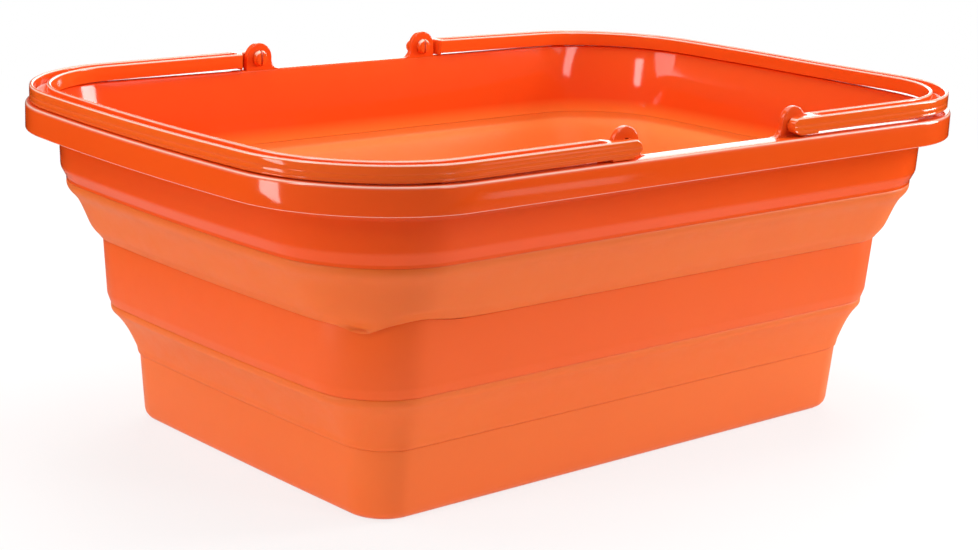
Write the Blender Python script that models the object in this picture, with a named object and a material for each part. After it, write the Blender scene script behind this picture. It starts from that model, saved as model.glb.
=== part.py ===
"""Collapsible camp washbasin with two folding bail handles, standing open with the handles down.

A rigid rim frame, a rigid middle ring and a rigid base pan are joined by two soft folds that
invert when the basin is pushed flat. Metres, +Z up, X along the long side, origin at the
middle of the underside.
"""

import math

import bmesh
import bpy

# Plan of the rim, with bowed short ends
RIM_LENGTH = 0.400
RIM_WIDTH = 0.260
RIM_END_BOW = 0.0085
RIM_CORNER_RADIUS = 0.059
END_DRAW_SHARE = 1.138

# Heights of the bands, from the underside up
BASE_HEIGHT = 0.0303
LOWER_FOLD_HEIGHT = 0.0240
MIDDLE_RING_HEIGHT = 0.0298
UPPER_FOLD_HEIGHT = 0.0259
UPPER_WALL_HEIGHT = 0.0342

# How far each band draws in on the long sides, from the rim down
FLANGE_OVERHANG = 0.0116
UPPER_WALL_DRAFT = 0.0005
UPPER_LIP_DRAW = 0.0020
UPPER_FOLD_DRAW = 0.0131
MIDDLE_RING_DRAFT = 0.0016
MIDDLE_LIP_DRAW = 0.0013
LOWER_FOLD_DRAW = 0.0094
BASE_DRAFT = 0.0021

# Walls, seams and the tongues that the soft cuffs grip
RIGID_WALL = 0.0024
FOLD_WALL = 0.0018
SEAM_GAP = 0.0003
TONGUE_THICKNESS = 0.0008
TONGUE_HEIGHT = 0.0014
CUFF_HEIGHT = 0.0026
FOLD_LIP_PROUD = 0.0009

# Rim frame: flat flange, hanging skirt and the sloping throat inside
FLANGE_WIDTH = 0.0090
FLANGE_THICKNESS = 0.0024
SKIRT_DEPTH = 0.0114
SKIRT_THICKNESS = 0.0022
RIM_EDGE_RADIUS = 0.0014
RIM_INNER_EDGE_RADIUS = 0.0006
THROAT_DEPTH = 0.0145
UPPER_LIP_HEIGHT = 0.0058
LIP_LANDING_HEIGHT = 0.0013

# Middle ring and base pan
MIDDLE_LIP_HEIGHT = 0.0042
BASE_EDGE_RADIUS = 0.0045
FLOOR_THICKNESS = 0.0024
FOOT_BORDER = 0.0140
FOOT_RECESS_DEPTH = 0.0008

# Ears on the rim, and the hinge pivots in them
PIVOT_SPACING = 0.101
PIVOT_HEIGHT = 0.0054
EAR_RADIUS = 0.0073
EAR_THICKNESS = 0.0028
EAR_FLARE_RADIUS = 0.0046
EAR_EDGE_RADIUS = 0.0004
EAR_HOLE_RADIUS = 0.0031

# Bail handles: a channel, open upwards while the handle lies on the rim
BAIL_SET_IN = 0.0017
BAIL_WIDTH = 0.0090
BAIL_HEIGHT = 0.0068
BAIL_WALL = 0.0018
BAIL_FLOOR = 0.0022
BAIL_EDGE = 0.0005
BAIL_LIFT = 0.0014
BAIL_GROOVE_DEPTH = 0.00025
BAIL_GROOVE_HALF_WIDTH = 0.0003
BAIL_GROOVE_SHARES = (0.14, 0.46)
LUG_REACH = 0.0048
EAR_SIDE_CLEARANCE = 0.0003
EAR_END_CLEARANCE = 0.0005
MERGE_LENGTH = 0.0085
CHANNEL_END_SETBACK = 0.0038

# Split snap studs on the lugs, and the nubs that the handle rests on
STUD_CLEARANCE = 0.0003
STUD_HEAD_OVERLAP = 0.0007
STUD_HEAD_LENGTH = 0.0020
STUD_HEAD_RIM = 0.0006
STUD_TIP_INSET = 0.0007
STUD_SLOT_WIDTH = 0.0012
NUB_LENGTH = 0.0050
NUB_WIDTH = 0.0030
NUB_GAP = 0.0003
CUT_OVERRUN = 0.0010

# Fineness of the curves
CORNER_STEPS = 8
END_STEPS = 6
EDGE_STEPS = 3
INNER_EDGE_STEPS = 2
EAR_STEPS = 14
FLARE_STEPS = 6
STUD_SIDES = 20
LUG_STEPS = 5
MERGE_STEPS = 5
SMOOTH_ANGLE = 35

# Fall and draw of each soft fold's outer face, as shares of its height and draw
UPPER_FOLD_SHARES = ((0.19, 0.12), (0.27, 0.26), (0.41, 0.39), (0.61, 0.53), (0.77, 0.64), (0.88, 0.76))
LOWER_FOLD_SHARES = ((0.16, 0.10), (0.25, 0.27), (0.40, 0.47), (0.60, 0.67), (0.80, 0.83), (0.88, 0.90))

# Seam levels, and the draw of the outer face at each seam
BASE_TOP_Z = BASE_HEIGHT
LOWER_FOLD_BOTTOM_Z = BASE_TOP_Z + SEAM_GAP
LOWER_FOLD_TOP_Z = LOWER_FOLD_BOTTOM_Z + LOWER_FOLD_HEIGHT
MIDDLE_BOTTOM_Z = LOWER_FOLD_TOP_Z + SEAM_GAP
MIDDLE_TOP_Z = MIDDLE_BOTTOM_Z + MIDDLE_RING_HEIGHT
UPPER_FOLD_BOTTOM_Z = MIDDLE_TOP_Z + SEAM_GAP
UPPER_FOLD_TOP_Z = UPPER_FOLD_BOTTOM_Z + UPPER_FOLD_HEIGHT
UPPER_WALL_BOTTOM_Z = UPPER_FOLD_TOP_Z + SEAM_GAP
RIM_TOP_Z = UPPER_WALL_BOTTOM_Z + UPPER_WALL_HEIGHT
UPPER_WALL_DRAW = FLANGE_OVERHANG + UPPER_WALL_DRAFT
UPPER_SEAM_DRAW = UPPER_WALL_DRAW + UPPER_LIP_DRAW
MIDDLE_TOP_DRAW = UPPER_SEAM_DRAW + UPPER_FOLD_DRAW
MIDDLE_LOW_DRAW = MIDDLE_TOP_DRAW + MIDDLE_RING_DRAFT
LOWER_SEAM_DRAW = MIDDLE_LOW_DRAW + MIDDLE_LIP_DRAW
BASE_TOP_DRAW = LOWER_SEAM_DRAW + LOWER_FOLD_DRAW
BASE_LOW_DRAW = BASE_TOP_DRAW + BASE_DRAFT
FULL_DRAW = BASE_LOW_DRAW + BASE_EDGE_RADIUS

# Places worked out for the ears and handles
PIVOT_X = PIVOT_SPACING / 2
PIVOT_Z = RIM_TOP_Z + PIVOT_HEIGHT
EAR_INNER_INSET = FLANGE_WIDTH
EAR_OUTER_INSET = FLANGE_WIDTH - EAR_THICKNESS
BAIL_BOTTOM_Z = RIM_TOP_Z + BAIL_LIFT
BAIL_TOP_Z = BAIL_BOTTOM_Z + BAIL_HEIGHT
BAIL_MIDDLE_Z = (BAIL_BOTTOM_Z + BAIL_TOP_Z) / 2
LUG_INNER_INSET = EAR_OUTER_INSET - EAR_SIDE_CLEARANCE
LUG_END_RADIUS = BAIL_HEIGHT / 2
MERGE_START_X = PIVOT_X + EAR_RADIUS + EAR_END_CLEARANCE


def half_outline(draw, inset):
    """The +X half of the plan outline, from the front side round the bowed end to the back side."""
    bow = RIM_END_BOW * (1 - draw / FULL_DRAW)
    half_length = RIM_LENGTH / 2 - RIM_END_BOW - END_DRAW_SHARE * draw - inset
    half_width = RIM_WIDTH / 2 - draw - inset
    radius = max(RIM_CORNER_RADIUS - draw - inset, RIGID_WALL)
    corner_x = half_length - radius
    corner_y = half_width - radius
    points = []
    for side in (-1, 1):
        for step in range(CORNER_STEPS + 1):
            angle = math.radians(90) * step / CORNER_STEPS
            across, along = math.sin(angle), math.cos(angle)
            if side > 0:
                across, along = along, across
            points.append((corner_x + radius * across, side * (corner_y + radius * along)))
        if side < 0:
            for step in range(1, END_STEPS):
                points.append((half_length, corner_y * (2 * step / END_STEPS - 1)))
    return [(x + bow * (1 - (y / half_width) ** 2) * x / half_length, y) for x, y in points]


def outline(draw, inset):
    """The whole plan outline, anticlockwise seen from above."""
    half = half_outline(draw, inset)
    return half + [(-x, -y) for x, y in half]


def arc(centre, radius, start, end, steps):
    """Points of an arc in a plane, with the angles in degrees."""
    points = []
    for step in range(steps + 1):
        angle = math.radians(start + (end - start) * step / steps)
        points.append((centre[0] + radius * math.cos(angle), centre[1] + radius * math.sin(angle)))
    return points


def add_loop(mesh, points):
    """Adds one loop of vertices to a mesh that is being made."""
    return [mesh.verts.new(point) for point in points]


def bridge(mesh, loops, closed):
    """Joins neighbouring loops of equal length with faces, and the last to the first where closed."""
    pairs = list(zip(loops, loops[1:]))
    if closed:
        pairs.append((loops[-1], loops[0]))
    for low, high in pairs:
        count = len(low)
        for index in range(count):
            following = (index + 1) % count
            mesh.faces.new((low[index], low[following], high[following], high[index]))


def finish(name, mesh, material, parent=None):
    """Turns the mesh being made into a named object with its normals outwards."""
    bmesh.ops.recalc_face_normals(mesh, faces=mesh.faces)
    data = bpy.data.meshes.new(name)
    mesh.to_mesh(data)
    mesh.free()
    data.shade_smooth()
    data.set_sharp_from_angle(angle=math.radians(SMOOTH_ANGLE))
    thing = bpy.data.objects.new(name, data)
    bpy.context.scene.collection.objects.link(thing)
    if material:
        data.materials.append(material)
    thing.parent = parent
    return thing


def loft_band(name, stations, material, capped=False):
    """A ring lofted through stations of draw, inset and height, or a pan where its ends are capped."""
    mesh = bmesh.new()
    loops = []
    for draw, inset, height in stations:
        loops.append(add_loop(mesh, [(x, y, height) for x, y in outline(draw, inset)]))
    bridge(mesh, loops, not capped)
    if capped:
        mesh.faces.new(loops[0])
        mesh.faces.new(loops[-1])
    return finish(name, mesh, material)


def boolean(thing, other, operation):
    """Adds a Boolean modifier, and hides the other object as a tool."""
    modifier = thing.modifiers.new(other.name, "BOOLEAN")
    modifier.operation = operation
    modifier.object = other
    other.hide_render = True
    other.display_type = "WIRE"


def tongue(draw, edge_z, rise):
    """Stations over a rigid edge with its central tongue, from the outer face to the inner face."""
    first = (RIGID_WALL - TONGUE_THICKNESS) / 2
    last = first + TONGUE_THICKNESS
    tip_z = edge_z + rise * TONGUE_HEIGHT
    return [
        (draw, 0, edge_z),
        (draw, first, edge_z),
        (draw, first, tip_z),
        (draw, last, tip_z),
        (draw, last, edge_z),
        (draw, RIGID_WALL, edge_z),
    ]


def cuff(draw, edge_z, rise, proud):
    """Stations over a soft edge with the groove that grips a tongue, from the outer to the inner face."""
    first = (RIGID_WALL - TONGUE_THICKNESS) / 2 - SEAM_GAP
    last = first + TONGUE_THICKNESS + 2 * SEAM_GAP
    foot_z = edge_z - rise * (TONGUE_HEIGHT + SEAM_GAP)
    return [
        (draw - proud, 0, edge_z),
        (draw, first, edge_z),
        (draw, first, foot_z),
        (draw, last, foot_z),
        (draw, last, edge_z),
        (draw, RIGID_WALL, edge_z),
    ]


def fold_stations(top, bottom, shares):
    """Stations round a soft fold between two seams, each given as draw and height."""
    top_draw, top_z = top
    bottom_draw, bottom_z = bottom
    fall, draw_in = top_z - bottom_z, bottom_draw - top_draw
    outer = [(top_draw + across * draw_in, top_z - down * fall) for down, across in shares]
    inner = []
    for index, (draw, height) in enumerate(outer):
        before = outer[max(index - 1, 0)]
        after = outer[min(index + 1, len(outer) - 1)]
        run, drop = after[0] - before[0], before[1] - after[1]
        length = math.hypot(run, drop)
        inner.append((draw, FOLD_WALL * drop / length, height + FOLD_WALL * run / length))
    under_top = [(top_draw, 0, top_z - CUFF_HEIGHT)]
    inside_top = [(top_draw, RIGID_WALL, top_z - CUFF_HEIGHT)]
    inside_bottom = [(bottom_draw, RIGID_WALL, bottom_z + CUFF_HEIGHT)]
    lower_cuff = cuff(bottom_draw, bottom_z, -1, FOLD_LIP_PROUD)
    upper_cuff = cuff(top_draw, top_z, 1, 0)
    outside = under_top + [(draw, 0, height) for draw, height in outer]
    return outside + lower_cuff + inside_bottom + inner[::-1] + inside_top + upper_cuff[::-1]


def make_rim_frame(material):
    """The rim: flat flange, hanging skirt, sloping throat, upper wall, four ears and their holes."""
    top = RIM_TOP_Z
    ceiling = top - FLANGE_THICKNESS
    throat = top - THROAT_DEPTH
    skirt_bottom = top - SKIRT_DEPTH
    lip_top = UPPER_WALL_BOTTOM_Z + UPPER_LIP_HEIGHT
    landing = UPPER_WALL_BOTTOM_Z + LIP_LANDING_HEIGHT
    outer_edge = arc((RIM_EDGE_RADIUS, top - RIM_EDGE_RADIUS), RIM_EDGE_RADIUS, 180, 90, EDGE_STEPS)
    inner_centre = (FLANGE_WIDTH - RIM_INNER_EDGE_RADIUS, top - RIM_INNER_EDGE_RADIUS)
    inner_edge = arc(inner_centre, RIM_INNER_EDGE_RADIUS, 90, 0, INNER_EDGE_STEPS)
    stations = [(0, 0, skirt_bottom)]
    stations += [(0, inset, height) for inset, height in outer_edge + inner_edge]
    stations += [
        (FLANGE_OVERHANG, RIGID_WALL, throat),
        (UPPER_WALL_DRAW, RIGID_WALL, lip_top),
        (UPPER_SEAM_DRAW, RIGID_WALL, landing),
    ]
    stations += tongue(UPPER_SEAM_DRAW, UPPER_WALL_BOTTOM_Z, -1)[::-1]
    stations += [
        (UPPER_SEAM_DRAW, 0, landing),
        (UPPER_WALL_DRAW, 0, lip_top),
        (FLANGE_OVERHANG, 0, throat),
        (0, FLANGE_WIDTH - RIGID_WALL, ceiling),
        (0, SKIRT_THICKNESS, ceiling),
        (0, SKIRT_THICKNESS, skirt_bottom),
    ]
    frame = loft_band("rim_frame", stations, material)
    for side_y in (-1, 1):
        for side_x in (-1, 1):
            boolean(frame, make_ear(side_x, side_y), "UNION")
    for side_y in (-1, 1):
        for side_x in (-1, 1):
            boolean(frame, make_ear_hole(side_x, side_y), "DIFFERENCE")
    return frame


def ear_outline():
    """The ear seen from the side, about its hole, with the handle on its +X side."""
    root = -PIVOT_HEIGHT - FLANGE_THICKNESS / 2
    points = [(EAR_RADIUS, root)]
    points += arc((0, 0), EAR_RADIUS, 0, 180, EAR_STEPS)
    flare_centre = (-EAR_RADIUS - EAR_FLARE_RADIUS, EAR_FLARE_RADIUS - PIVOT_HEIGHT)
    points += arc(flare_centre, EAR_FLARE_RADIUS, 0, -90, FLARE_STEPS)
    points.append((flare_centre[0], root))
    return points


def make_ear(side_x, side_y):
    """One ear: its outline extruded through its thickness, with softened edges above the rim."""
    mesh = bmesh.new()
    near_y = side_y * (RIM_WIDTH / 2 - EAR_OUTER_INSET)
    points = [(side_x * (PIVOT_X + x), near_y, PIVOT_Z + z) for x, z in ear_outline()]
    face = mesh.faces.new(add_loop(mesh, points))
    grown = bmesh.ops.extrude_face_region(mesh, geom=[face])
    moved = [item for item in grown["geom"] if isinstance(item, bmesh.types.BMVert)]
    bmesh.ops.translate(mesh, verts=moved, vec=(0, -side_y * EAR_THICKNESS, 0))
    above = [
        edge
        for edge in mesh.edges
        if edge.verts[0].co.y == edge.verts[1].co.y
        and min(vert.co.z for vert in edge.verts) > RIM_TOP_Z + EAR_EDGE_RADIUS
    ]
    bmesh.ops.bevel(mesh, geom=above, offset=EAR_EDGE_RADIUS, segments=1, affect="EDGES")
    return finish(f"ear_tool_{side_x}_{side_y}", mesh, None)


def turned(name, profile, place, outwards, sides, material=None, parent=None):
    """A piece turned about a line along Y, from (radius, distance) pairs that start and end on the axis side."""
    mesh = bmesh.new()
    loops = []
    for radius, distance in profile:
        ring = arc((place[0], place[2]), radius, 0, 360 - 360 / sides, sides - 1)
        loops.append(add_loop(mesh, [(x, place[1] + outwards * distance, z) for x, z in ring]))
    bridge(mesh, loops, False)
    mesh.faces.new(loops[0])
    mesh.faces.new(loops[-1])
    return finish(name, mesh, material, parent)


def make_ear_hole(side_x, side_y):
    """The cutter of one ear's pivot hole."""
    start_y = side_y * (RIM_WIDTH / 2 - EAR_OUTER_INSET + CUT_OVERRUN)
    length = EAR_THICKNESS + 2 * CUT_OVERRUN
    profile = ((EAR_HOLE_RADIUS, 0), (EAR_HOLE_RADIUS, length))
    place = (side_x * PIVOT_X, start_y, PIVOT_Z)
    return turned(f"hole_tool_{side_x}_{side_y}", profile, place, -side_y, STUD_SIDES)


def make_middle_ring(material):
    """The rigid middle ring, drafted, with its lower edge turned in to the seam."""
    lip_top = MIDDLE_BOTTOM_Z + MIDDLE_LIP_HEIGHT
    stations = tongue(MIDDLE_TOP_DRAW, MIDDLE_TOP_Z, 1)
    stations.append((MIDDLE_LOW_DRAW, RIGID_WALL, lip_top))
    stations += tongue(LOWER_SEAM_DRAW, MIDDLE_BOTTOM_Z, -1)[::-1]
    stations.append((MIDDLE_LOW_DRAW, 0, lip_top))
    return loft_band("middle_ring", stations, material)


def make_base_pan(material):
    """The base pan: drafted wall, rounded lower edge, and a foot border round a shallow recess."""
    centre = (BASE_LOW_DRAW + BASE_EDGE_RADIUS, BASE_EDGE_RADIUS)
    outer_edge = arc(centre, BASE_EDGE_RADIUS, 270, 180, EDGE_STEPS)
    inner_radius = max(BASE_EDGE_RADIUS - RIGID_WALL, 0) + RIGID_WALL / 2
    inner_centre = (RIGID_WALL + inner_radius, FLOOR_THICKNESS + inner_radius)
    inner_edge = arc(inner_centre, inner_radius, 180, 270, EDGE_STEPS)
    foot_inset = BASE_EDGE_RADIUS + FOOT_BORDER
    recess_inset = foot_inset + FOOT_RECESS_DEPTH
    stations = [(BASE_LOW_DRAW, recess_inset, FOOT_RECESS_DEPTH), (BASE_LOW_DRAW, foot_inset, 0)]
    stations += [(BASE_LOW_DRAW, draw - BASE_LOW_DRAW, height) for draw, height in outer_edge]
    stations += tongue(BASE_TOP_DRAW, BASE_TOP_Z, 1)
    stations += [(BASE_LOW_DRAW, inset, height) for inset, height in inner_edge]
    return loft_band("base_pan", stations, material, capped=True)


def side_stations():
    """Distances along X, inner-face insets and height shares of the handle's bar, from lug to corner."""
    end_x = PIVOT_X - LUG_REACH + LUG_END_RADIUS
    stations = []
    for step in range(1, LUG_STEPS + 1):
        angle = math.radians(90) * step / LUG_STEPS
        place_x = end_x - LUG_END_RADIUS * math.cos(angle)
        stations.append((place_x, LUG_INNER_INSET, math.sin(angle)))
    for step in range(MERGE_STEPS + 1):
        share = step / MERGE_STEPS
        eased_share = share * share * (3 - 2 * share)
        spread = BAIL_SET_IN + BAIL_WIDTH - LUG_INNER_INSET
        inset = LUG_INNER_INSET + eased_share * spread
        stations.append((MERGE_START_X + share * MERGE_LENGTH, inset, 1))
    return stations


def bail_section(inner_inset, height_share):
    """The bar's section as (inset, height) pairs, with the two fine grooves in its outer face."""
    outer = BAIL_SET_IN
    pairs = [(outer, BAIL_BOTTOM_Z)]
    for share in BAIL_GROOVE_SHARES:
        groove_z = BAIL_BOTTOM_Z + share * BAIL_HEIGHT
        pairs.append((outer, groove_z - BAIL_GROOVE_HALF_WIDTH))
        pairs.append((outer + BAIL_GROOVE_DEPTH, groove_z))
        pairs.append((outer, groove_z + BAIL_GROOVE_HALF_WIDTH))
    pairs += [
        (outer, BAIL_TOP_Z - BAIL_EDGE),
        (outer + BAIL_EDGE, BAIL_TOP_Z),
        (inner_inset - BAIL_EDGE, BAIL_TOP_Z),
        (inner_inset, BAIL_TOP_Z - BAIL_EDGE),
        (inner_inset, BAIL_BOTTOM_Z),
    ]
    return [(inset, BAIL_MIDDLE_Z + (height - BAIL_MIDDLE_Z) * height_share) for inset, height in pairs]


def bail_loops(sides, section):
    """Lofts a section round the handle's way: the near side, the bowed end and the far side."""
    loops = []
    for side_y in (-1, 1):
        run = sides if side_y < 0 else sides[::-1]
        for place_x, inner_inset, share in run:
            loop = []
            for inset, height in section(inner_inset, share):
                loop.append((place_x - PIVOT_X, side_y * (RIM_WIDTH / 2 - inset), height - PIVOT_Z))
            loops.append(loop)
        if side_y < 0:
            pairs = section(BAIL_SET_IN + BAIL_WIDTH, 1)
            lines = [half_outline(0, inset) for inset, height in pairs]
            for index in range(len(lines[0])):
                loop = []
                for line, (inset, height) in zip(lines, pairs):
                    loop.append((line[index][0] - PIVOT_X, line[index][1], height - PIVOT_Z))
                loops.append(loop)
    return loops


def make_bail_solid(name, sides, section, material, parent):
    """A capped loft along the handle's way."""
    mesh = bmesh.new()
    loops = [add_loop(mesh, loop) for loop in bail_loops(sides, section)]
    bridge(mesh, loops, False)
    mesh.faces.new(loops[0])
    mesh.faces.new(loops[-1])
    return finish(name, mesh, material, parent)


def channel_section(inner_inset, height_share):
    """The section of the channel's cutter, between the handle's two walls and above its floor."""
    first = BAIL_SET_IN + BAIL_WALL
    last = inner_inset - BAIL_WALL
    low = BAIL_BOTTOM_Z + BAIL_FLOOR
    high = BAIL_TOP_Z + CUT_OVERRUN
    return [(first, low), (first, high), (last, high), (last, low)]


def channel_sides():
    """The stretch of the channel's cutter beside the ear, which ends where the walls merge."""
    start_x = MERGE_START_X + CHANNEL_END_SETBACK
    return [station for station in side_stations() if station[0] >= start_x]


def make_stud(name, side_y, parent, material):
    """A split snap stud: shank through the ear, and a head with a lead-in behind it."""
    shank = EAR_HOLE_RADIUS - STUD_CLEARANCE
    head = EAR_HOLE_RADIUS + STUD_HEAD_OVERLAP
    through = BAIL_WALL + EAR_SIDE_CLEARANCE + EAR_THICKNESS + EAR_SIDE_CLEARANCE
    profile = (
        (shank, 0),
        (shank, through),
        (head, through),
        (head, through + STUD_HEAD_RIM),
        (head - STUD_TIP_INSET, through + STUD_HEAD_LENGTH),
    )
    start_y = side_y * (RIM_WIDTH / 2 - LUG_INNER_INSET + BAIL_WALL)
    return turned(name, profile, (0, start_y, 0), -side_y, STUD_SIDES, material, parent)


def make_block(name, low, high, parent):
    """A plain block between two corners, for slots and nubs."""
    mesh = bmesh.new()
    loops = []
    for height in (low[2], high[2]):
        corners = ((low[0], low[1]), (high[0], low[1]), (high[0], high[1]), (low[0], high[1]))
        loops.append(add_loop(mesh, [(x, y, height) for x, y in corners]))
    bridge(mesh, loops, False)
    mesh.faces.new(loops[0])
    mesh.faces.new(loops[1])
    return finish(name, mesh, None, parent)


def make_slot(name, side_y, parent):
    """The cutter that splits one stud, from its tip to the middle of the ear."""
    head = EAR_HOLE_RADIUS + STUD_HEAD_OVERLAP + CUT_OVERRUN
    tip = RIM_WIDTH / 2 - EAR_INNER_INSET - EAR_SIDE_CLEARANCE - STUD_HEAD_LENGTH - CUT_OVERRUN
    root = RIM_WIDTH / 2 - EAR_OUTER_INSET - EAR_THICKNESS / 2
    ends = sorted((side_y * tip, side_y * root))
    half = STUD_SLOT_WIDTH / 2
    return make_block(name, (-half, ends[0], -head), (half, ends[1], head), parent)


def make_nub(name, side_y, parent):
    """One rest nub under the handle's floor, where its side meets the corner."""
    middle_x = RIM_LENGTH / 2 - RIM_END_BOW - RIM_CORNER_RADIUS - PIVOT_X
    middle_y = RIM_WIDTH / 2 - BAIL_SET_IN - BAIL_WIDTH / 2
    ends = sorted((side_y * (middle_y - NUB_WIDTH / 2), side_y * (middle_y + NUB_WIDTH / 2)))
    low = (middle_x - NUB_LENGTH / 2, ends[0], RIM_TOP_Z + NUB_GAP - PIVOT_Z)
    high = (middle_x + NUB_LENGTH / 2, ends[1], BAIL_BOTTOM_Z + BAIL_FLOOR / 2 - PIVOT_Z)
    return make_block(name, low, high, parent)


def make_handle(name, side_x, material):
    """One bail handle about its hinge line, turned half round for the other end of the basin."""
    hinge = bpy.data.objects.new(f"{name}_hinge", None)
    bpy.context.scene.collection.objects.link(hinge)
    hinge.location = (side_x * PIVOT_X, 0, PIVOT_Z)
    hinge.rotation_euler.z = 0 if side_x > 0 else math.pi
    handle = make_bail_solid(name, side_stations(), bail_section, material, hinge)
    channel = make_bail_solid(f"{name}_channel", channel_sides(), channel_section, None, hinge)
    boolean(handle, channel, "DIFFERENCE")
    for side_y in (-1, 1):
        boolean(handle, make_stud(f"{name}_stud_{side_y}", side_y, hinge, None), "UNION")
        boolean(handle, make_slot(f"{name}_slot_{side_y}", side_y, hinge), "DIFFERENCE")
        boolean(handle, make_nub(f"{name}_nub_{side_y}", side_y, hinge), "UNION")
    return handle


def make_material(name, colour, roughness):
    """A plain Principled material with its colour in linear values."""
    material = bpy.data.materials.new(name)
    material.use_nodes = True
    shader = material.node_tree.nodes["Principled BSDF"]
    shader.inputs["Base Color"].default_value = (*colour, 1)
    shader.inputs["Roughness"].default_value = roughness
    shader.inputs["Metallic"].default_value = 0
    return material


def clear_scene():
    """Removes every object of the scene that the script is run in."""
    for thing in list(bpy.data.objects):
        bpy.data.objects.remove(thing, do_unlink=True)


def main():
    clear_scene()
    gloss = {"colour": (0.87, 0.095, 0.014), "roughness": 0.22}
    satin = {"colour": (0.90, 0.150, 0.035), "roughness": 0.45}
    make_rim_frame(make_material("rim_polypropylene", **gloss))
    upper = fold_stations(
        (UPPER_SEAM_DRAW, UPPER_FOLD_TOP_Z), (MIDDLE_TOP_DRAW, UPPER_FOLD_BOTTOM_Z), UPPER_FOLD_SHARES
    )
    loft_band("upper_fold", upper, make_material("upper_fold_rubber", **satin))
    make_middle_ring(make_material("middle_ring_polypropylene", **satin))
    lower = fold_stations(
        (LOWER_SEAM_DRAW, LOWER_FOLD_TOP_Z), (BASE_TOP_DRAW, LOWER_FOLD_BOTTOM_Z), LOWER_FOLD_SHARES
    )
    loft_band("lower_fold", lower, make_material("lower_fold_rubber", **satin))
    make_base_pan(make_material("base_polypropylene", **satin))
    for name, side_x in (("left_handle", -1), ("right_handle", 1)):
        make_handle(name, side_x, make_material(f"{name}_polypropylene", **gloss))


main()
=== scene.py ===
"""Collapsible camp washbasin, dressed for its picture: glossy rim and bails, satin bands and soft folds."""

import math
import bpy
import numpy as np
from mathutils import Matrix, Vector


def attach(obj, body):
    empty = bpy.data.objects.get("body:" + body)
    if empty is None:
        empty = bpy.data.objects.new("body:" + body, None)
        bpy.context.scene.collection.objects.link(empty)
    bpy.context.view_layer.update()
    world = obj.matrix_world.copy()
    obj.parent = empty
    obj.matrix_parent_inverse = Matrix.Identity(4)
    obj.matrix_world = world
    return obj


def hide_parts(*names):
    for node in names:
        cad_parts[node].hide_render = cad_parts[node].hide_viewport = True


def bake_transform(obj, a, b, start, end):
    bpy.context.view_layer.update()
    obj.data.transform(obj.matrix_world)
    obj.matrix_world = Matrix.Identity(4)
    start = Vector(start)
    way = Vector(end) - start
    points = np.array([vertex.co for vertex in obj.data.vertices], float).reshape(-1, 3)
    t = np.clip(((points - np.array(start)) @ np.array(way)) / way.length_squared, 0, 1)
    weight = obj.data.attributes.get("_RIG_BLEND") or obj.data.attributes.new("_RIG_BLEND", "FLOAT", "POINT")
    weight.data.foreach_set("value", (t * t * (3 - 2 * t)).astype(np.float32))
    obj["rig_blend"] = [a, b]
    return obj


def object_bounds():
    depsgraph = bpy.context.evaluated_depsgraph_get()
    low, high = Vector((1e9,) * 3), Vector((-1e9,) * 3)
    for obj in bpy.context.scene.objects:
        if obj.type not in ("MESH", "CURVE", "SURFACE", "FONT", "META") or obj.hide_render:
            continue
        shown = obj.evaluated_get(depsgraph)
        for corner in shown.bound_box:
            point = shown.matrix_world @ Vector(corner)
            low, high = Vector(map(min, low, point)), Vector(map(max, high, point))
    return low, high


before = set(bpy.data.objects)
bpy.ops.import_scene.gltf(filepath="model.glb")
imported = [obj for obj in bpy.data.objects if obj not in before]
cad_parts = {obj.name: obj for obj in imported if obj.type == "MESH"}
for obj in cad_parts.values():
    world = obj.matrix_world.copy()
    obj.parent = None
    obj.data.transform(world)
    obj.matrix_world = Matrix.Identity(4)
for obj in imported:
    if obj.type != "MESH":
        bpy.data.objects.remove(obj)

from types import SimpleNamespace

import bmesh
import bpy
from bpy.props import FloatProperty, FloatVectorProperty, PointerProperty
from mathutils import Matrix, Vector

bl_info = {
    "name": "Collapsible Washbasin",
    "version": (1, 0, 0),
    "blender": (4, 5, 0),
    "location": "View3D > Sidebar > Washbasin",
    "description": "Models a collapsible camp washbasin with two bail handles",
    "category": "Object",
}

CAD_LOW, CAD_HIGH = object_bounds()
CAD_SIZE = CAD_HIGH - CAD_LOW

# Fineness of the curves
SIDE_STEPS = 10
CORNER_STEPS = 20
END_STEPS = 6
LUG_STEPS = 9
MERGE_STEPS = 10
EAR_STEPS = 32
FLARE_STEPS = 12
STUD_SIDES = 40
BEAD_STEPS = 8
BEVEL_STEPS = 4
EDGE_STEPS = 3
SUBDIVISIONS = 2

# Steepest corners, in degrees, that are still shaded smooth
SMOOTH_ANGLE = 32
FOLD_SMOOTH_ANGLE = 40

# How far each soft fold falls and draws in, as shares of its height and its draw
UPPER_FOLD_SHARES = (
    (0.19, 0.12), (0.27, 0.26), (0.41, 0.39), (0.61, 0.53), (0.77, 0.64), (0.86, 0.74), (0.94, 0.87)
)
LOWER_FOLD_SHARES = ((0.16, 0.10), (0.25, 0.27), (0.40, 0.47), (0.60, 0.67), (0.80, 0.83), (0.88, 0.90))

# How far the ends draw in, for each metre that the sides do
END_DRAW_SHARE = 1.138

# Small sizes of the tub, in metres
SEAM_GAP = 0.0003
SEAM_CLOSE = 0.00025
WALL_DRAFT = 0.0005
THROAT_THINNING = 0.0005
UPPER_LIP_DRAW = 0.0020
UPPER_LIP_HEIGHT = 0.0058
LIP_LANDING = 0.0013
LIP_PROUD = 0.0007
RING_DRAFT = 0.0016
RING_LIP_DRAW = 0.0013
RING_LIP_HEIGHT = 0.0042
BASE_DRAFT = 0.0021
BASE_EDGE_RADIUS = 0.0045
FOOT_BORDER = 0.0140
FOOT_RECESS = 0.0008
FLAT_INSET = 0.02
NEAR_END_PULL = 0.0026
TONGUE_THICKNESS = 0.0008
TONGUE_HEIGHT = 0.0014
CUFF_HEIGHT = 0.0026

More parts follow.
